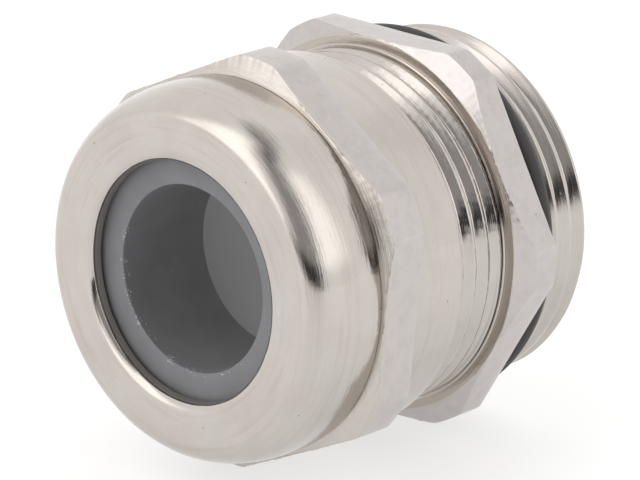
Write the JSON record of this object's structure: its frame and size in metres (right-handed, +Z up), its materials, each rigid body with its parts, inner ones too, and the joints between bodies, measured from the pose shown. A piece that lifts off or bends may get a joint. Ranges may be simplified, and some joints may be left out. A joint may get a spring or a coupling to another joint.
{
  "type": "cable gland",
  "caption": "Metal cable gland with a domed clamping nut, split clamping cage, rubber seal and threaded panel connection with O-ring.",
  "frame": {"origin": "centre of the body's rear sealing face, on the gland axis", "axes": "+Y along the gland axis out of the connection thread, -Y out of the dome nut, +Z up with a flat of the body hexagon facing up"},
  "size_m": [0.033, 0.0308, 0.0328],
  "materials": {
    "body_metal": "nickel-plated, turned, semi-bright",
    "nut_metal": "nickel-plated, turned, semi-bright",
    "o_ring_rubber": "black rubber, satin",
    "cage_plastic": "dark polyamide, matt",
    "seal_rubber": "grey rubber, matt"
  },
  "bodies": {
    "body": {"gland_body": "body_metal", "o_ring": "o_ring_rubber"},
    "insert": {"clamping_cage": "cage_plastic", "sealing_insert": "seal_rubber"},
    "nut": {"dome_nut": "nut_metal"}
  },
  "joints": [
    {"name": "insert_slide", "type": "slide", "parent": "body", "child": "insert", "axis": [0, 1, 0], "range_m": [-0.00451, 0.00401]},
    {"name": "nut_turn", "type": "hinge", "parent": "insert", "child": "nut", "pos_m": [0, 0, 0], "axis": [0, 1, 0], "range_deg": [-1080, 960]}
  ],
  "couplings": [
    {"joint": "insert_slide", "follows": "nut_turn", "m_per_rad": 0.00023873}
  ]
}
